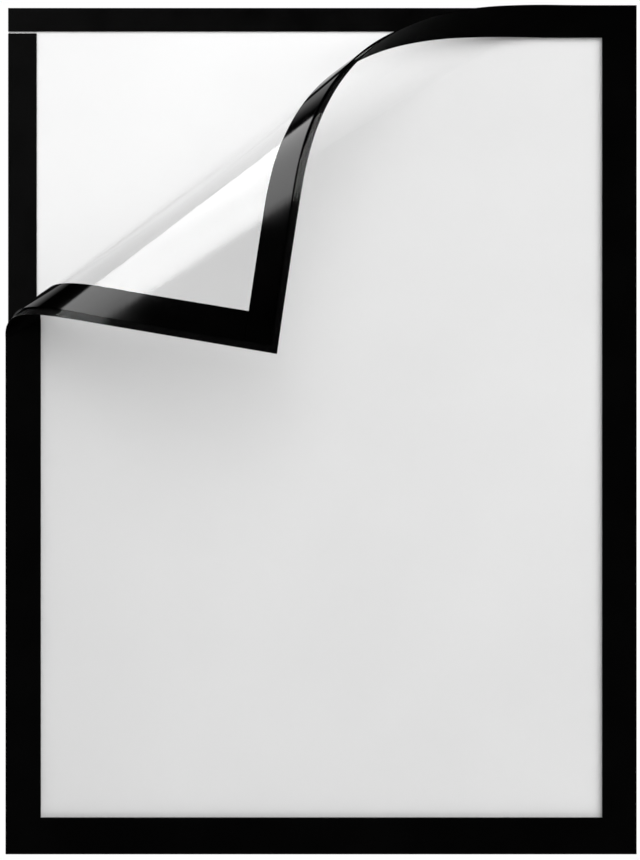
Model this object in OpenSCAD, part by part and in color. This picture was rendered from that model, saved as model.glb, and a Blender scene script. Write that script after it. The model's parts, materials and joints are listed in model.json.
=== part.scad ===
// Self-adhesive magnetic display frame with its upper left cover corner peeled over.
// Upright on a wall: +Z is up, the front faces -Y, the origin is the centre of the
// adhesive back face.

/* [Cover outline] */
// Width of the cover
cover_w = 236; // [225:1:300]
// Height of the cover
cover_h = 317.5; // [290:0.5:420]

/* [Border] */
// Width of the left border
border_left = 13.1; // [11:0.1:20]
// Width of the right border
border_right = 12.8; // [11:0.1:20]
// Width of the top border
border_top = 12; // [10:0.1:20]
// Width of the bottom border
border_bottom = 13.6; // [10:0.1:20]
// Thickness of the black border skin
border_t = 0.25; // [0.15:0.05:0.6]

/* [Window film] */
// Thickness of the clear film
film_t = 0.3; // [0.2:0.05:0.8]

/* [Cover magnets] */
// Thickness of the flexible magnet strips
magnet_t = 0.7; // [0.4:0.05:1.5]
// Margin from the outer edge of the cover to the magnet strips
magnet_margin = 2.7; // [1.5:0.1:4]
// Gap between a top or bottom magnet strip and a side strip
magnet_gap = 0.3; // [0.1:0.1:1]

/* [Back panel] */
// Thickness of the adhesive film
adhesive_t = 0.2; // [0.1:0.05:0.5]
// Thickness of the white backing sheet
backing_t = 0.4; // [0.3:0.05:1]
// Margin from the cover's top, bottom and left edge to the back panel and its strips
panel_margin = 0.75; // [0.6:0.05:1.5]

/* [Rear strips] */
// Thickness of the rear magnet strips
strip_t = 0.8; // [0.5:0.05:1.5]
// How far the top border laps over the recess between the rear strips
lap_top = 2.55; // [0.5:0.05:4]
// How far the bottom border laps over the recess
lap_bottom = 3.45; // [0.5:0.05:4]
// How far the left border laps over the recess
lap_left = 1.75; // [0.5:0.05:4]
// How far the right border laps over the recess
lap_right = 1.9; // [0.5:0.05:4]
// Gap between the top or bottom rear strip and a side strip
strip_gap = 0.8; // [0.2:0.1:1.5]

/* [Insert card] */
// Thickness of the blank white card
card_t = 0.3; // [0.1:0.05:0.5]
// Play of the card beside the left rear strip
card_play_left = 0.3; // [0.1:0.1:1]
// Play of the card beside the right rear strip
card_play_right = 0.4; // [0.1:0.1:1]
// Play of the card above the bottom rear strip
card_play_bottom = 0.1; // [0.1:0.1:1]
// Play of the card under the top rear strip
card_play_top = 0.9; // [0.1:0.1:2]

/* [Hinge] */
// Thickness of the hinge tape along the right edge
tape_t = 0.2; // [0.1:0.05:0.3]
// Length that the hinge tape stops short of the cover's top and bottom
tape_setback = 4; // [1:0.5:20]

/* [Peeled corner] */
// Angle through which the corner is rolled over
peel_angle = 170.4; // [40:0.4:172]
// Length of the top edge that stays flat, beside the right edge
peel_top_flat = 13.3; // [13:0.1:40]
// Last crease on the top edge, measured from the corner
peel_top_last = 59; // [50:0.5:80]
// First crease on the left edge, measured from the corner
peel_left_first = 124.9; // [115:0.1:135]
// Last crease on the left edge, measured from the corner
peel_left_last = 72.1; // [60:0.1:80]
// Even bunching of the creases along the top edge
peel_top_bunch = 0.06; // [-0.2:0.01:0.2]
// Bunching of the creases towards both ends of the top edge
peel_top_swing = -0.35; // [-0.4:0.01:0.3]
// Power with which the creases spread along the left edge
peel_left_power = 2.5; // [1:0.1:2.6]

/* [Clearances] */
// Air between the closed cover's magnets and the rear strips
cover_gap = 0.1; // [0.05:0.05:0.3]
// Slit between two slices of the rolled cover
slit = 0.1; // [0.06:0.02:0.2]
// Air between the hinge tape and what it lies beside
tape_gap = 0.1; // [0.05:0.05:0.2]

/* [Hidden] */
CREASES = 8;

// Depths in front of the wall face, from the wall outwards
backing_y = adhesive_t;
strip_y = backing_y + backing_t;
magnet_y = strip_y + max(strip_t, card_t) + cover_gap;
film_y = magnet_y + magnet_t;
border_y = film_y + film_t;
front_y = border_y + border_t;

// Edges in the plane of the frame
left_x = -cover_w / 2;
right_x = cover_w / 2;
bottom_z = -cover_h / 2;
top_z = cover_h / 2;
panel_left = left_x + panel_margin;
panel_right = right_x - tape_t - tape_gap;
panel_bottom = bottom_z + panel_margin;
panel_top = top_z - panel_margin;
window_left = left_x + border_left;
window_right = right_x - border_right;
window_bottom = bottom_z + border_bottom;
window_top = top_z - border_top;
recess_left = window_left - lap_left;
recess_right = window_right + lap_right;
recess_bottom = window_bottom - lap_bottom;
recess_top = window_top + lap_top;

// Turn at each crease, the first crease's place on the top edge, and how far a cut
// runs past the outline
step_angle = peel_angle / CREASES;
peel_top_first = cover_w - peel_top_flat;
past = cover_w / 4;

// Share of the roll that is done at crease j, and where the crease meets the two edges
function share(j) = (j - 0.5) / CREASES;
function bunched(u) =
    u + peel_top_bunch * u * (1 - u) + peel_top_swing * u * (1 - u) * (1 - 2 * u);
function crease_top(j) =
    peel_top_first + (peel_top_last - peel_top_first) * bunched(share(j));
function crease_left(j) =
    peel_left_first + (peel_left_last - peel_left_first) * pow(share(j), peel_left_power);

// A rectangle given by its edges in the plane of the frame
module area(x1, x2, z1, z2) {
    translate([x1, z1])
        square([x2 - x1, z2 - z1]);
}

module outline() {
    area(left_x, right_x, bottom_z, top_z);
}

// A flat layer of the stack, from its depth in front of the wall outwards
module layer(depth, thickness) {
    translate([0, -depth, 0])
        rotate([90, 0, 0])
            linear_extrude(thickness)
                children();
}

// The plane on the corner's side of crease j, moved towards the corner by a distance
module beyond(j, toward = 0) {
    a = crease_top(j);
    b = crease_left(j);
    kept = 1 - toward * norm([a, b]) / (a * b);
    on_top = [left_x + a * kept, top_z];
    on_left = [left_x, top_z - b * kept];
    along = (on_top - on_left) / norm([a, b]);
    polygon([on_top + past * along, on_left - past * along, [left_x - past, top_z + past]]);
}

// What a layer has between crease k and the next one, or past the last
module slice(k) {
    intersection() {
        children();
        difference() {
            beyond(k, slit / 2);
            if (k < CREASES)
                beyond(k + 1, -slit / 2);
        }
    }
}

// What a layer has on the flat part of the cover
module flat_part() {
    difference() {
        children();
        beyond(1, -slit / 2);
    }
}

// Turn about crease i on the cover's front face, towards the front
module turned(i) {
    pivot = [left_x, -front_y, top_z - crease_left(i)];
    translate(pivot)
        rotate(a = step_angle, v = [crease_top(i), 0, crease_left(i)])
            translate(-pivot)
                children();
}

// Carry slice k through all the turns from the first crease to its own
module rolled(k, i = 1) {
    if (i > k)
        children();
    else
        turned(i)
            rolled(k, i + 1)
                children();
}

module border_shape() {
    difference() {
        outline();
        area(window_left, window_right, window_bottom, window_top);
    }
}

// The magnet strips fill the border from its margin to the window's edge
module magnet_bar(top) {
    x1 = left_x + magnet_margin;
    x2 = right_x - magnet_margin;
    if (top)
        area(x1, x2, window_top, top_z - magnet_margin);
    else
        area(x1, x2, bottom_z + magnet_margin, window_bottom);
}

module magnet_post(left) {
    z1 = window_bottom + magnet_gap;
    z2 = window_top - magnet_gap;
    if (left)
        area(left_x + magnet_margin, window_left, z1, z2);
    else
        area(window_right, right_x - magnet_margin, z1, z2);
}

module adhesive_film() {
    color("gainsboro")
        layer(0, adhesive_t)
            area(panel_left, panel_right, panel_bottom, panel_top);
}

module backing_sheet() {
    color("white")
        layer(backing_y, backing_t)
            area(panel_left, panel_right, panel_bottom, panel_top);
}

module rear_strip_top() {
    color("dimgray")
        layer(strip_y, strip_t)
            area(panel_left, panel_right, recess_top, panel_top);
}

module rear_strip_bottom() {
    color("dimgray")
        layer(strip_y, strip_t)
            area(panel_left, panel_right, panel_bottom, recess_bottom);
}

module rear_strip_left() {
    color("dimgray")
        layer(strip_y, strip_t)
            area(panel_left, recess_left, recess_bottom + strip_gap, recess_top - strip_gap);
}

module rear_strip_right() {
    color("dimgray")
        layer(strip_y, strip_t)
            area(recess_right, panel_right, recess_bottom + strip_gap, recess_top - strip_gap);
}

module insert_card() {
    color("ghostwhite")
        layer(strip_y, card_t)
            area(
                recess_left + card_play_left,
                recess_right - card_play_right,
                recess_bottom + card_play_bottom,
                recess_top - card_play_top
            );
}

// The tape stands on edge beside the back panel, up to the rear of the window film
module hinge_tape() {
    color("black")
        layer(0, film_y - tape_gap)
            area(right_x - tape_t, right_x, bottom_z + tape_setback, top_z - tape_setback);
}

module cover_border() {
    color("black")
        layer(border_y, border_t)
            flat_part()
                border_shape();
}

module window_film() {
    color("lightgray", 0.5)
        layer(film_y, film_t)
            flat_part()
                outline();
}

module magnet_top() {
    color([0.1, 0.1, 0.1])
        layer(magnet_y, magnet_t)
            flat_part()
                magnet_bar(true);
}

module magnet_bottom() {
    color([0.1, 0.1, 0.1])
        layer(magnet_y, magnet_t)
            magnet_bar(false);
}

module magnet_left() {
    color([0.1, 0.1, 0.1])
        layer(magnet_y, magnet_t)
            flat_part()
                magnet_post(true);
}

module magnet_right() {
    color([0.1, 0.1, 0.1])
        layer(magnet_y, magnet_t)
            magnet_post(false);
}

// The three layers of slice k of the rolled cover, the last slice being the corner
module rolled_border(k) {
    color("black")
        rolled(k)
            layer(border_y, border_t)
                slice(k)
                    border_shape();
}

module rolled_film(k) {
    color("lightgray", 0.5)
        rolled(k)
            layer(film_y, film_t)
                slice(k)
                    outline();
}

module rolled_magnets(k) {
    color([0.1, 0.1, 0.1])
        rolled(k)
            layer(magnet_y, magnet_t)
                slice(k) {
                    magnet_bar(true);
                    magnet_post(true);
                }
}

adhesive_film();
backing_sheet();
rear_strip_top();
rear_strip_bottom();
rear_strip_left();
rear_strip_right();
insert_card();
hinge_tape();
cover_border();
window_film();
magnet_top();
magnet_bottom();
magnet_left();
magnet_right();
for (k = [1 : CREASES - 1]) {
    rolled_border(k);
    rolled_film(k);
    rolled_magnets(k);
}
rolled_border(CREASES);  // corner_border
rolled_film(CREASES);  // corner_film
rolled_magnets(CREASES);  // corner_magnets
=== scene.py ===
"""Looks of a magnetic display frame on a wall, its upper left cover corner rolled over."""

import json
import math

import bpy
import numpy as np
from mathutils import Matrix, Vector


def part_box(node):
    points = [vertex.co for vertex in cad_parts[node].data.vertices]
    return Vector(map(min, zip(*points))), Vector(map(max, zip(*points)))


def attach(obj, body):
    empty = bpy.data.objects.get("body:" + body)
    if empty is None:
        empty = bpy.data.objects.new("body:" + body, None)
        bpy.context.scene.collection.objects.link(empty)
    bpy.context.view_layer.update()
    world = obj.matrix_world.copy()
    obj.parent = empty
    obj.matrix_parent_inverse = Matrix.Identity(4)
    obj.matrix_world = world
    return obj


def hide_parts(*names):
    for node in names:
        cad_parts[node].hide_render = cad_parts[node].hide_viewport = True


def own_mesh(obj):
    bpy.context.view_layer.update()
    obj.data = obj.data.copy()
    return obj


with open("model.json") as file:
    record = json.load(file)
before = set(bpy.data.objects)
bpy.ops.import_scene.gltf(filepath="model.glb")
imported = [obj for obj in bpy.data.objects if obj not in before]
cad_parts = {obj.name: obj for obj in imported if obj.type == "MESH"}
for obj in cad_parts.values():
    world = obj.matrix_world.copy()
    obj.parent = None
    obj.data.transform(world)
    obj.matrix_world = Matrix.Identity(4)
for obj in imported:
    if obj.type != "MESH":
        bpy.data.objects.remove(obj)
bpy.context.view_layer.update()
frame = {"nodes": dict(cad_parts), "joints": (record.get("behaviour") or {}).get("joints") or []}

MM = 0.001

# The photograph's height in pixels, and its straight-on camera, whose distance is in the
# same pixels
IMAGE_H = 860
SENSOR = 36.0
CAMERA_AT = (-0.0004, -0.7132, -0.0001)
CAMERA_DISTANCE_PX = 1900

# How finely the roll, the corner past it and the film across it are meshed
ARC_STEPS = 10
FLAP_STEPS = 10
FILM_COLUMNS = 24

# How far the film stays clear of the layers on both sides of it
FILM_INSET = 0.02 * MM

# How near the film's last row comes to the corner, as a share of the roll's last line
TIP_SHARE = 0.01

# The slight bend that the corner keeps past the last crease, as a curvature over two
FLAP_BEND = 0.8


def edges_of_cover():
    """The cover's edges, its window and its layers, read from the CAD nodes."""
    film_lo, film_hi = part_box("window_film")
    skin_lo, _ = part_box("cover_border")
    left_lo, left_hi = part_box("magnet_left")
    top_lo, top_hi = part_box("magnet_top")
    right_lo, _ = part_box("magnet_right")
    bottom_lo, bottom_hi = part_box("magnet_bottom")
    return {
        "left": film_lo.x,
        "right": film_hi.x,
        "bottom": film_lo.z,
        "top": film_hi.z,
        "front": -skin_lo.y,
        "skin": film_lo.y - skin_lo.y,
        "film": film_hi.y - film_lo.y,
        "magnet": left_hi.y - film_hi.y,
        "window_left": left_hi.x,
        "window_right": right_lo.x,
        "window_top": top_lo.z,
        "window_bottom": bottom_hi.z,
        "margin": left_lo.x - film_lo.x,
        "gap": left_lo.z - bottom_hi.z,
    }


E = edges_of_cover()
BORDER_LEFT = E["window_left"] - E["left"]
BORDER_TOP = E["top"] - E["window_top"]
COVER_W = E["right"] - E["left"]
COVER_H = E["top"] - E["bottom"]
SKIN = (0.0, E["skin"])
FILM = (E["skin"], E["skin"] + E["film"])
MAGNET = (FILM[1], FILM[1] + E["magnet"])


def about(point, axis, angle):
    """The 4x4 turn by an angle about a line."""
    here = Matrix.Translation(Vector(point))
    return here @ Matrix.Rotation(angle, 4, Vector(axis)) @ here.inverted()


def peel_joints():
    """The creases' joints in order, from the flat cover to the corner."""
    found = {j["name"]: j for j in frame["joints"]}
    count = sum(name.startswith("corner_peel_") for name in found)
    return [found[f"corner_peel_{k}"] for k in range(1, count + 1)]


PEEL = peel_joints()
SLICES = len(PEEL)
BODIES = ["cover"] + [j["child"] for j in PEEL]


def flattening():
    """For each body of the roll, the matrix that carries it from rest to the closed cover."""
    found = [Matrix.Identity(4)]
    for joint in PEEL:
        closed = math.radians(joint["range_deg"][0])
        found.append(found[-1] @ about(joint["pos_m"], joint["axis"], closed))
    return found


FLATTEN = flattening()


def crease_ends(k):
    """Where crease k meets the closed cover's top and left edge, measured from the corner."""
    joint = PEEL[k - 1]
    point = FLATTEN[k - 1] @ Vector(joint["pos_m"])
    along = FLATTEN[k - 1].to_3x3() @ Vector(joint["axis"])
    on_top = point + along * ((E["top"] - point.z) / along.z)
    on_left = point + along * ((E["left"] - point.x) / along.x)
    return np.array([on_top.x - E["left"], E["top"] - on_left.z])


CREASES = [crease_ends(k) for k in range(1, SLICES + 1)]
FIRST_LINE = CREASES[0] + (CREASES[0] - CREASES[1]) / 2
LAST_LINE = CREASES[-1] + (CREASES[-1] - CREASES[-2]) / 2


def sheet_point(ends, s):
    """Right and down from the corner, at share s of a line from the left to the top edge."""
    return np.array([ends[0] * s, ends[1] * (1 - s)])


def placed(body, flat):
    """The rest position of a point that is given flat, on the front face, on a body."""
    closed = Vector((E["left"] + flat[0], -E["front"], E["top"] - flat[1]))
    return np.array(FLATTEN[body].inverted() @ closed)


def control(arc, s):
    """An arc's three control points at share s, at rest and flat."""
    ends = CREASES[arc - 1]
    middle = sheet_point(ends, s)
    if arc == 1:
        before = sheet_point(FIRST_LINE, s)
    else:
        before = (middle + sheet_point(CREASES[arc - 2], s)) / 2
    if arc == SLICES:
        after = sheet_point(LAST_LINE, s)
    else:
        after = (middle + sheet_point(CREASES[arc], s)) / 2
    flat = [before, middle, after]
    rest = [placed(arc - 1, before), placed(arc - 1, middle), placed(arc, after)]
    return rest, flat


def bend(points, t):
    """The point at share t of the arc that three control points give."""
    return points[0] * (1 - t) ** 2 + points[1] * 2 * t * (1 - t) + points[2] * t**2


def slope(points, t):
    """The arc's direction at share t."""
    return (points[1] - points[0]) * (1 - t) + (points[2] - points[1]) * t


def line_ends(arc, t):
    """Where a line of the roll meets the flat cover's top and left edge."""
    _, on_top = control(arc, 1.0)
    _, on_left = control(arc, 0.0)
    return np.array([bend(on_top, t)[0], bend(on_left, t)[1]])


def roll_point(arc, t, s):
    """A point of the cover's front face on the roll, and the normal there."""
    rest, _ = control(arc, s)
    low, _ = control(arc, 0.0)
    high, _ = control(arc, 1.0)
    point = bend(rest, t)
    along = bend(high, t) - bend(low, t)
    across = slope(rest, t)
    normal = np.cross(along, across)
    return point, normal / np.linalg.norm(normal)


def corner_point(flat):
    """A point of the corner's face, which keeps a slight bend towards its tip, and its normal."""
    turned = FLATTEN[SLICES].inverted().to_3x3()
    normal = np.array(turned @ Vector((0, -1, 0)))
    a, b = LAST_LINE
    past = (1 - flat[0] / a - flat[1] / b) * a * b / math.hypot(a, b)
    toward = np.array(turned @ Vector((-b, 0, a)).normalized())
    bent = normal - 2 * FLAP_BEND * past * toward
    point = placed(SLICES, flat) + normal * FLAP_BEND * past**2
    return point, bent / np.linalg.norm(bent)


def corner_rows(start_row, end_row):
    """Rows of corner points from the roll's last line to an end row, all given flat."""
    found = []
    for t in np.linspace(0, 1, FLAP_STEPS + 1)[1:]:
        pairs = zip(start_row, end_row)
        found.append([corner_point(np.array(p) * (1 - t) + np.array(q) * t) for p, q in pairs])
    return found


def last_row(shares):
    """The roll's last line, given flat, at the places that shares gives."""
    return [sheet_point(LAST_LINE, s) for s in shares(LAST_LINE)]


def flat_point(flat):
    """A point of the cover's flat face, and its normal."""
    return placed(0, flat), np.array([0.0, -1.0, 0.0])


def roll_rows(body, shares):
    """The rows of a slice of the roll, from the flat side to the corner's side. shares gives
    each row's places on its line, from where that line meets the two edges."""
    rows = []
    spans = []
    if body > 0:
        spans.append((body, np.linspace(0.5, 1.0, ARC_STEPS // 2 + 1)))
    if body < SLICES:
        spans.append((body + 1, np.linspace(0.0, 0.5, ARC_STEPS // 2 + 1)))
    for arc, steps in spans:
        for t in steps[1 if rows else 0 :]:
            ends = line_ends(arc, t)
            rows.append([roll_point(arc, t, s) for s in shares(ends)])
    return rows


def left_band(inner, outer):
    """The shares of a line between two distances from the left edge."""
    return lambda ends: [outer / ends[0], inner / ends[0]]


def top_band(inner, outer):
    """The shares of a line between two distances from the top edge."""
    return lambda ends: [1 - outer / ends[1], 1 - inner / ends[1]]


def whole_line(ends):
    """The shares of a line over the film's whole width, closer within the window."""
    low, high = BORDER_LEFT / ends[0], 1 - BORDER_TOP / ends[1]
    return [0.0, *np.linspace(low, high, FILM_COLUMNS), 1.0]


class Sheet:
    """A closed mesh of rows of points, thickened behind the cover's front face. With
    bonded_ends, the faces of its first and last column are the ones that carry the skin."""

    def __init__(self, depth, bonded_ends=False):
        self.depth = depth
        self.bonded_ends = bonded_ends
        self.points = []
        self.normals = []
        self.faces = []
        self.kinds = []

    def grid(self, rows, open_start=False, open_end=False):
        """Adds rows of (point, normal). An open end is one that the next slice goes on from."""
        count = len(rows[0])
        first = len(self.points)
        for row in rows:
            for point, normal in row:
                for depth in self.depth:
                    self.points.append(point - normal * depth)
                    self.normals.append(normal)
        across = rows[0][-1][0] - rows[0][0][0]
        along = rows[1][0][0] + rows[1][-1][0] - rows[0][0][0] - rows[0][-1][0]
        turned = np.dot(np.cross(across, along), rows[0][0][1]) < 0

        def add(corners, kind):
            found = [first + (r * count + c) * 2 + back for r, c, back in corners]
            self.faces.append(found[::-1] if turned else found)
            self.kinds.append(kind)

        last, end = len(rows) - 1, count - 1
        for r in range(last):
            for c in range(end):
                ring = [(r, c), (r, c + 1), (r + 1, c + 1), (r + 1, c)]
                bonded = self.bonded_ends and c in (0, end - 1)
                add([(*at, 0) for at in ring], "bonded" if bonded else "front")
                add([(*at, 1) for at in ring[::-1]], "margin" if bonded else "back")
            add([(r, 0, 0), (r + 1, 0, 0), (r + 1, 0, 1), (r, 0, 1)], "edge")
            add([(r + 1, end, 0), (r, end, 0), (r, end, 1), (r + 1, end, 1)], "edge")
        for c in range(end):
            start = [(0, c + 1, 0), (0, c, 0), (0, c, 1), (0, c + 1, 1)]
            add(start, "seam" if open_start else "edge")
            finish = [(last, c, 0), (last, c + 1, 0), (last, c + 1, 1), (last, c, 1)]
            add(finish, "seam" if open_end else "edge")

    def made(self, name, material, others):
        """The object. others gives the materials of those kinds of face that differ."""
        mesh = bpy.data.meshes.new(name)
        mesh.from_pydata([tuple(p) for p in self.points], [], self.faces)
        slots = [material]
        for other in others.values():
            if other not in slots:
                slots.append(other)
        for slot in slots:
            mesh.materials.append(slot)
        for polygon, kind in zip(mesh.polygons, self.kinds):
            polygon.use_smooth = kind in ("front", "back", "bonded", "margin")
            polygon.material_index = slots.index(others.get(kind, material))
        mesh.update()
        loops = []
        for polygon, kind in zip(mesh.polygons, self.kinds):
            for corner in polygon.vertices:
                if kind in ("front", "bonded"):
                    loops.append(tuple(self.normals[corner]))
                elif kind in ("back", "margin"):
                    loops.append(tuple(-self.normals[corner]))
                else:
                    loops.append(tuple(polygon.normal))
        mesh.normals_split_custom_set(loops)
        obj = bpy.data.objects.new(name, mesh)
        bpy.context.scene.collection.objects.link(obj)
        return obj


# Most of a noise field lies between these two
NOISE_LOW = 0.35
NOISE_HIGH = 0.65


def greys(first, second):
    """Two neutral colours."""
    return (first,) * 3, (second,) * 3


class Shader:
    """Short calls for building one material's nodes."""

    def __init__(self, name):
        self.material = bpy.data.materials.new(name)
        self.material.use_nodes = True
        self.tree = self.material.node_tree
        self.tree.nodes.clear()
        self.output = self.node("ShaderNodeOutputMaterial")

    def node(self, kind, **values):
        made = self.tree.nodes.new(kind)
        for key, value in values.items():
            setattr(made, key, value)
        return made

    def set(self, node, **values):
        for key, value in values.items():
            node.inputs[key.replace("_", " ")].default_value = value
        return node

    def link(self, source, target):
        self.tree.links.new(source, target)

    def place(self):
        return self.node("ShaderNodeTexCoord").outputs["Object"]

    def noise(self, per_metre, detail=3.0, stretch=(1, 1, 1)):
        """A noise field in the part's frame, with its scale in cells a metre."""
        mapping = self.node("ShaderNodeMapping")
        mapping.inputs["Scale"].default_value = stretch
        self.link(self.place(), mapping.inputs["Vector"])
        noise = self.node("ShaderNodeTexNoise")
        self.set(noise, Scale=per_metre, Detail=detail)
        self.link(mapping.outputs["Vector"], noise.inputs["Vector"])
        return noise.outputs["Fac"]

    def ramp(self, value, low, high, start=NOISE_LOW, end=NOISE_HIGH):
        """A value turned into a number between low and high."""
        scale = self.node("ShaderNodeMapRange")
        names = ("From Min", "From Max", "To Min", "To Max")
        for name, number in zip(names, (start, end, low, high)):
            scale.inputs[name].default_value = number
        self.link(value, scale.inputs["Value"])
        return scale.outputs["Result"]

    def colour(self, value, dark, light, start=NOISE_LOW, end=NOISE_HIGH):
        """A value turned into a colour between dark and light."""
        ramp = self.node("ShaderNodeValToRGB")
        ramp.color_ramp.elements[0].position = start
        ramp.color_ramp.elements[0].color = (*dark, 1)
        ramp.color_ramp.elements[1].position = end
        ramp.color_ramp.elements[1].color = (*light, 1)
        self.link(value, ramp.inputs["Fac"])
        return ramp.outputs["Color"]

    def bump(self, height, depth):
        """The normal of a relief of the given depth in metres."""
        bump = self.node("ShaderNodeBump")
        self.set(bump, Distance=depth, Strength=1.0)
        self.link(height, bump.inputs["Height"])
        return bump.outputs["Normal"]

    def surface(self, gloss, cloud, shades, relief, depth, rough, rough_by=None):
        """A plain surface: its shade and roughness vary with noise, and it has a relief."""
        shader = self.node("ShaderNodeBsdfPrincipled")
        self.set(shader, Specular_IOR_Level=gloss)
        self.link(shader.outputs["BSDF"], self.output.inputs["Surface"])
        self.link(self.colour(cloud, *shades), shader.inputs["Base Color"])
        self.link(self.ramp(rough_by or cloud, *rough), shader.inputs["Roughness"])
        self.link(self.bump(relief, depth), shader.inputs["Normal"])
        return self.material


def skin_material():
    """The cover's black printed skin: deep matte black with a faint orange peel."""
    m = Shader("border_skin")
    return m.surface(
        gloss=0.014,
        cloud=m.noise(30),
        shades=greys(0.0003, 0.0007),
        relief=m.noise(1400, detail=4),
        depth=0.02 * MM,
        rough=(0.5, 0.6),
    )


def magnet_material():
    """The cover's magnets: glossy black strip with the fine drawn lines of an extruded sheet."""
    m = Shader("cover_magnet")
    return m.surface(
        gloss=0.19,
        cloud=m.noise(60),
        shades=greys(0.0004, 0.0009),
        relief=m.noise(900, detail=2, stretch=(1, 1, 0.03)),
        depth=0.002 * MM,
        rough=(0.055, 0.08),
    )


def strip_material():
    """The rear strips: dull black magnet sheet."""
    m = Shader("rear_strip")
    return m.surface(
        gloss=0.03,
        cloud=m.noise(80),
        shades=greys(0.0004, 0.001),
        relief=m.noise(2500, detail=4),
        depth=0.02 * MM,
        rough=(0.45, 0.6),
    )


def card_material():
    """The blank insert card: bright white paper with a faint fibre."""
    m = Shader("card_paper")
    fibre = m.noise(1800, detail=5)
    return m.surface(
        gloss=0.15,
        cloud=m.noise(14, detail=2),
        shades=greys(0.935, 0.96),
        relief=fibre,
        depth=0.01 * MM,
        rough=(0.75, 0.9),
        rough_by=fibre,
    )


def backing_material():
    """The white plastic backing sheet."""
    m = Shader("backing_sheet")
    return m.surface(
        gloss=0.3,
        cloud=m.noise(25, detail=2),
        shades=greys(0.9, 0.93),
        relief=m.noise(900, detail=3),
        depth=0.01 * MM,
        rough=(0.4, 0.5),
    )


def adhesive_material():
    """The adhesive film on the back: pale, slightly waxy, with fine dimples."""
    m = Shader("adhesive")
    cells = m.set(m.node("ShaderNodeTexVoronoi"), Scale=700.0)
    m.link(m.place(), cells.inputs["Vector"])
    return m.surface(
        gloss=0.4,
        cloud=m.noise(18, detail=3),
        shades=((0.72, 0.73, 0.72), (0.8, 0.8, 0.78)),
        relief=cells.outputs["Distance"],
        depth=0.05 * MM,
        rough=(0.3, 0.45),
    )


def tape_material():
    """The black woven hinge tape."""
    m = Shader("hinge_tape")
    weave = m.node("ShaderNodeTexWave", wave_type="BANDS", bands_direction="DIAGONAL")
    m.set(weave, Scale=900.0, Distortion=0.4)
    m.link(m.place(), weave.inputs["Vector"])
    return m.surface(
        gloss=0.15,
        cloud=m.noise(50),
        shades=greys(0.003, 0.008),
        relief=weave.outputs["Fac"],
        depth=0.04 * MM,
        rough=(0.55, 0.7),
    )


# What a face of the film lets through where the film lies flat on the card, and where it
# curls free of it at this height and above. The flat film's grey is partly the film's own
# tint and partly painted shade that darkens the window; where the film curls free it is clear
FLAT_TINT_AND_SHADE = 0.956
FREE_TINT = 0.999
FREE_HEIGHT = 0.018

# How much a face of the film mirrors straight on, at a grazing angle and over the border,
# and the power with which it rises from the first to the second
FILM_GLOSS = 0.0185
FILM_GRAZING = 0.12
MARGIN_GLOSS = 0.0075
GRAZING_POWER = 5.0


def film_material(name, straight, grazing):
    """The clear cover film: see-through, with a grey of its own plus painted shade where it lies
    flat on the card that fades to clear as it curls free, and a soft gloss at each face.
    """
    m = Shader(name)
    clear = m.node("ShaderNodeBsdfTransparent")
    parts = m.node("ShaderNodeSeparateXYZ")
    m.link(m.place(), parts.inputs["Vector"])
    # Painted shade: the film's grey deepens where it lies flat on the card and fades out as it
    # curls free
    painted_shade_share = m.ramp(parts.outputs["Y"], 0.0, 1.0, -FREE_HEIGHT, -E["front"])
    tint_and_shade = m.colour(painted_shade_share, *greys(FREE_TINT, FLAT_TINT_AND_SHADE), 0.0, 1.0)
    m.link(tint_and_shade, clear.inputs["Color"])
    gloss = m.set(m.node("ShaderNodeBsdfGlossy"), Color=(1, 1, 1, 1))
    haze = m.noise(9, detail=2)
    m.link(m.ramp(haze, 0.05, 0.08), gloss.inputs["Roughness"])
    slant = m.set(m.node("ShaderNodeLayerWeight"), Blend=0.5)
    steep = m.node("ShaderNodeMath", operation="POWER")
    steep.inputs[1].default_value = GRAZING_POWER
    m.link(slant.outputs["Facing"], steep.inputs[0])
    mix = m.node("ShaderNodeMixShader")
    m.link(m.ramp(steep.outputs["Value"], straight, grazing, 0.0, 1.0), mix.inputs["Fac"])
    m.link(clear.outputs["BSDF"], mix.inputs[1])
    m.link(gloss.outputs["BSDF"], mix.inputs[2])
    m.link(mix.outputs["Shader"], m.output.inputs["Surface"])
    return m.material


def seam_material():
    """Where one slice of the film goes on into the next there is no face to see."""
    m = Shader("film_seam")
    clear = m.set(m.node("ShaderNodeBsdfTransparent"), Color=(1, 1, 1, 1))
    m.link(clear.outputs["BSDF"], m.output.inputs["Surface"])
    return m.material


MATERIALS = {
    "border": skin_material(),
    "film": film_material("window_film", FILM_GLOSS, FILM_GRAZING),
    "margin": film_material("film_on_border", MARGIN_GLOSS, MARGIN_GLOSS),
    "seam": seam_material(),
    "cover_magnet": magnet_material(),
    "rear_magnet": strip_material(),
    "card": card_material(),
    "backing": backing_material(),
    "adhesive": adhesive_material(),
    "hinge": tape_material(),
}


# The film's faces that aren't plain film: between slices, against the skin, and over the skin
FILM_FACES = {
    "seam": MATERIALS["seam"],
    "bonded": MATERIALS["seam"],
    "margin": MATERIALS["margin"],
}


def dress_nodes():
    """Gives the CAD nodes that stay their materials."""
    finishes = {
        "adhesive_film": "adhesive",
        "backing_sheet": "backing",
        "insert_card": "card",
        "hinge_tape": "hinge",
        "magnet_bottom": "cover_magnet",
        "magnet_right": "cover_magnet",
    }
    for side in ("top", "bottom", "left", "right"):
        finishes[f"rear_strip_{side}"] = "rear_magnet"
    for node, finish in finishes.items():
        slots = frame["nodes"][node].data.materials
        slots.clear()
        slots.append(MATERIALS[finish])


def settle(obj, body, node):
    """Puts a made piece on its body of the roll, so that it turns with that body, and gives each
    piece past the flat cover its own mesh.
    """
    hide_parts(node)
    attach(obj, BODIES[body])
    if body == 0:
        return
    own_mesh(obj)


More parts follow.
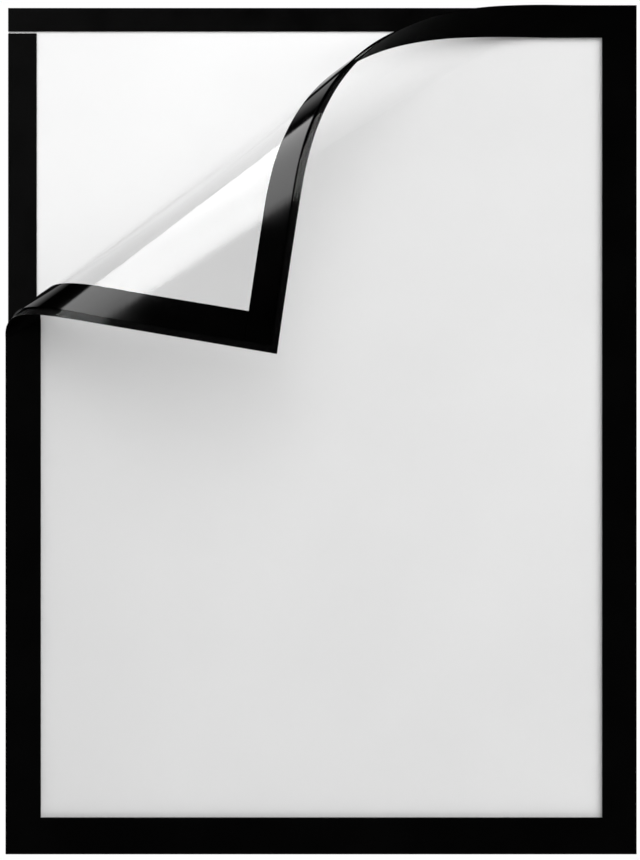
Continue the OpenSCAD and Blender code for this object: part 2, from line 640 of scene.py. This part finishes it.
def piece_names(body, layer):
    """The name of a layer's piece on a body, and the CAD node that it stands for."""
    cad = {"skin": "border", "film": "film", "magnets": "magnets"}
    if body == SLICES:
        return f"flap_{layer}", f"corner_{cad[layer]}"
    if body > 0:
        return f"roll_{layer}_{body}", f"curl_{cad[layer]}_{body}"
    flat = {"skin": "cover_border", "film": "window_film"}
    return f"flat_{layer}", flat.get(layer, layer)


def build_skin(body):
    """The black skin: a band beside the left edge and one under the top edge."""
    beside, under = left_band(BORDER_LEFT, 0.0), top_band(BORDER_TOP, 0.0)
    left, top = roll_rows(body, beside), roll_rows(body, under)
    sheet = Sheet(SKIN)
    if body == 0:
        right, bottom = E["right"] - E["window_right"], E["window_bottom"] - E["bottom"]
        mitres = [
            ((0, COVER_H), (BORDER_LEFT, COVER_H - bottom)),
            ((COVER_W, COVER_H), (COVER_W - right, COVER_H - bottom)),
            ((COVER_W, 0), (COVER_W - right, BORDER_TOP)),
        ]
        middle = [[flat_point(p) for p in pair] for pair in mitres]
        sheet.grid(left[::-1] + middle + top, True, True)
    elif body == SLICES:
        left += corner_rows(last_row(beside), [(0, 0), (BORDER_LEFT, BORDER_TOP)])
        top += corner_rows(last_row(under), [(0, 0), (BORDER_LEFT, BORDER_TOP)])
        sheet.grid(left + top[-2::-1], True, True)
    else:
        sheet.grid(left, True, True)
        sheet.grid(top, True, True)
    return sheet


def build_film(body):
    """The clear film, the whole width of the roll."""
    rows = roll_rows(body, whole_line)
    film = Sheet((FILM[0] + FILM_INSET, FILM[1] - FILM_INSET), bonded_ends=True)
    columns = len(rows[0])
    if body == 0:
        half = FILM_COLUMNS // 2
        below = [(x, COVER_H) for x in np.linspace(BORDER_LEFT, COVER_W, half + 1)]
        beside = [(COVER_W, y) for y in np.linspace(COVER_H, BORDER_TOP, half)[1:]]
        far = [(0, COVER_H), *below, *beside, (COVER_W, 0)]
        film.grid([[flat_point(p) for p in far]] + rows, False, True)
    elif body == SLICES:
        near = [sheet_point(LAST_LINE * TIP_SHARE, c / (columns - 1)) for c in range(columns)]
        film.grid(rows + corner_rows(last_row(whole_line), near), True, False)
    else:
        film.grid(rows, True, True)
    return film


def build_magnets(body):
    """The magnet strips, from their margin to the window's edge."""
    m = E["margin"]
    beside, under = left_band(BORDER_LEFT, m), top_band(BORDER_TOP, m)
    left, top = roll_rows(body, beside), roll_rows(body, under)
    if body == 0:
        foot = COVER_H - (E["window_bottom"] - E["bottom"]) - E["gap"]
        end_left = [flat_point((m, foot)), flat_point((BORDER_LEFT, foot))]
        end_top = [flat_point((COVER_W - m, m)), flat_point((COVER_W - m, BORDER_TOP))]
        post, bar = Sheet(MAGNET), Sheet(MAGNET)
        post.grid(left[::-1] + [end_left], True, False)
        bar.grid([end_top] + top, False, True)
        return [("magnet_left", post), ("magnet_top", bar)]
    both = Sheet(MAGNET)
    if body == SLICES:
        head = BORDER_TOP + E["gap"]
        left += corner_rows(last_row(beside), [(m, head), (BORDER_LEFT, head)])
        top += corner_rows(last_row(under), [(m, m), (m, BORDER_TOP)])
        both.grid(left, True, False)
        both.grid(top, True, False)
    else:
        both.grid(left, True, True)
        both.grid(top, True, True)
    return [("magnets", both)]


def build_cover():
    """Every layer of the cover, body by body from the flat part to the corner."""
    finishes = {"skin": "border", "film": "film"}
    for body in range(SLICES + 1):
        layers = [("skin", build_skin(body)), ("film", build_film(body)), *build_magnets(body)]
        for layer, sheet in layers:
            finish = finishes.get(layer, "cover_magnet")
            name, node = piece_names(body, layer)
            others = FILM_FACES if finish == "film" else {}
            settle(sheet.made(name, MATERIALS[finish], others), body, node)


# The floor: its half width, how far below the part it lies, its colour, and the share of
# plain white that lightens it to the camera alone
FLOOR_HALF = 1.5
FLOOR_DROP = 0.35
FLOOR_COLOUR = (0.9, 0.9, 0.9, 1)
FLOOR_GLOW = 0.7


def build_floor():
    """A plain pale floor, well below the part."""
    level = E["bottom"] - FLOOR_DROP
    corners = [(-1, -1), (1, -1), (1, 1), (-1, 1)]
    points = [(a * FLOOR_HALF, b * FLOOR_HALF, level) for a, b in corners]
    mesh = bpy.data.meshes.new("floor")
    mesh.from_pydata(points, [], [(0, 1, 2, 3)])
    obj = bpy.data.objects.new("floor", mesh)
    bpy.context.scene.collection.objects.link(obj)
    m = Shader("floor")
    matte = m.node("ShaderNodeBsdfPrincipled")
    m.set(matte, Base_Color=FLOOR_COLOUR, Roughness=0.9, Specular_IOR_Level=0.1)
    glow = m.set(m.node("ShaderNodeEmission"), Color=(1, 1, 1, 1), Strength=1.0)
    path = m.node("ShaderNodeLightPath")
    mix = m.node("ShaderNodeMixShader")
    m.link(m.ramp(path.outputs["Is Camera Ray"], 0.0, FLOOR_GLOW, 0.0, 1.0), mix.inputs["Fac"])
    m.link(matte.outputs["BSDF"], mix.inputs[1])
    m.link(glow.outputs["Emission"], mix.inputs[2])
    m.link(mix.outputs["Shader"], m.output.inputs["Surface"])
    mesh.materials.append(m.material)


# The world's light on the object, and how far behind it a direction has to point, as the
# sphere's Y, for white to start and to be full in its gloss
WORLD_LIGHT = 0.17
GLOSS_START = 0.3
GLOSS_FULL = 0.55


def build_world():
    """White to the camera, a plain soft light on the object, and a dark room in front of it."""
    world = bpy.data.worlds.new("studio")
    bpy.context.scene.world = world
    world.use_nodes = True
    tree = world.node_tree
    background = tree.nodes["Background"]
    background.inputs["Color"].default_value = (1, 1, 1, 1)
    path = tree.nodes.new("ShaderNodeLightPath")
    place = tree.nodes.new("ShaderNodeTexCoord")
    parts = tree.nodes.new("ShaderNodeSeparateXYZ")
    tree.links.new(place.outputs["Generated"], parts.inputs["Vector"])
    behind = tree.nodes.new("ShaderNodeMapRange")
    behind.inputs["From Min"].default_value = GLOSS_START
    behind.inputs["From Max"].default_value = GLOSS_FULL
    tree.links.new(parts.outputs["Y"], behind.inputs["Value"])
    in_gloss = tree.nodes.new("ShaderNodeMix")
    in_gloss.inputs["A"].default_value = WORLD_LIGHT
    tree.links.new(path.outputs["Is Glossy Ray"], in_gloss.inputs["Factor"])
    tree.links.new(behind.outputs["Result"], in_gloss.inputs["B"])
    level = tree.nodes.new("ShaderNodeMix")
    level.inputs["B"].default_value = 1.0
    tree.links.new(path.outputs["Is Camera Ray"], level.inputs["Factor"])
    tree.links.new(in_gloss.outputs["Result"], level.inputs["A"])
    tree.links.new(level.outputs["Result"], background.inputs["Strength"])


# The key lamp in front, up on the right, and the one that lights the back
KEY_AT = (0.42, -0.88, 0.56)
KEY_TOWARD = (-0.05, 0, 0.1)
KEY_SIZE = (1.4, 1.1)
KEY_WATTS = 14.7
REAR_AT = (0.0, 1.3, 1.1)
REAR_TOWARD = (0, 0, -0.1)
REAR_SIZE = (1.5, 1.2)
REAR_WATTS = 26.0


def softbox(name, at, toward, size, watts):
    """A soft rectangular lamp that doesn't show itself, not in gloss either."""
    light = bpy.data.lights.new(name, "AREA")
    light.shape = "RECTANGLE"
    light.size, light.size_y = size
    light.energy = watts
    obj = bpy.data.objects.new(name, light)
    obj.location = at
    obj.rotation_mode = "QUATERNION"
    obj.rotation_quaternion = (Vector(toward) - Vector(at)).to_track_quat("-Z", "Y")
    obj.visible_glossy = False
    obj.visible_camera = False
    bpy.context.scene.collection.objects.link(obj)


# The bright card that the underside of the peeled corner mirrors: its far and near edge from
# right to left, how much longer each is at both ends, its level, and how it fades with the
# share of the way to the near edge
CARD_BACK = ((-0.74, 0.1, 0.91), (-1.0, -0.33, 0.6))
CARD_FRONT = ((-0.69, -0.923, 0.166), (-0.797, -0.863, 0.085))
CARD_SPREAD = 0.4
CARD_LEVEL = 9.8
CARD_FADE = 0.85
CARD_FADE_START = 0.2


def build_reflector():
    """A card up on the left that only shows in gloss. It fades towards its front edge."""
    rows = []
    for right, left in (CARD_BACK, CARD_FRONT):
        right, left = Vector(right), Vector(left)
        out = (right - left).normalized() * CARD_SPREAD
        rows.append((right + out, left - out))
    mesh = bpy.data.meshes.new("reflector")
    points = [tuple(p) for row in rows for p in row]
    mesh.from_pydata(points, [], [(0, 1, 3, 2)])
    shade = mesh.uv_layers.new(name="shade")
    for loop, uv in zip(mesh.loops, shade.data):
        uv.uv = (loop.vertex_index % 2, loop.vertex_index // 2)
    obj = bpy.data.objects.new("reflector", mesh)
    bpy.context.scene.collection.objects.link(obj)
    m = Shader("reflector")
    place = m.node("ShaderNodeUVMap", uv_map="shade")
    parts = m.node("ShaderNodeSeparateXYZ")
    m.link(place.outputs["UV"], parts.inputs["Vector"])
    glow = m.node("ShaderNodeEmission")
    faded = CARD_LEVEL * CARD_FADE
    fade = m.ramp(parts.outputs["Y"], CARD_LEVEL, faded, CARD_FADE_START, 1.0)
    m.link(fade, glow.inputs["Strength"])
    m.link(glow.outputs["Emission"], m.output.inputs["Surface"])
    mesh.materials.append(m.material)
    for kind in ("camera", "diffuse", "transmission", "volume_scatter", "shadow"):
        setattr(obj, f"visible_{kind}", False)


def build_lights():
    softbox("key_light", KEY_AT, KEY_TOWARD, KEY_SIZE, KEY_WATTS)
    softbox("rear_light", REAR_AT, REAR_TOWARD, REAR_SIZE, REAR_WATTS)
    build_reflector()


def build_camera():
    """The photograph's camera: straight on, with the long side of the image on the sensor."""
    camera = bpy.data.cameras.new("camera")
    camera.sensor_width = SENSOR
    camera.lens = SENSOR * CAMERA_DISTANCE_PX / IMAGE_H
    obj = bpy.data.objects.new("camera", camera)
    obj.location = CAMERA_AT
    obj.rotation_euler = (math.pi / 2, 0, 0)
    bpy.context.scene.collection.objects.link(obj)
    bpy.context.scene.camera = obj


dress_nodes()
build_cover()
build_floor()
build_world()
build_lights()
build_camera()

bpy.context.scene.view_settings.view_transform = "Standard"
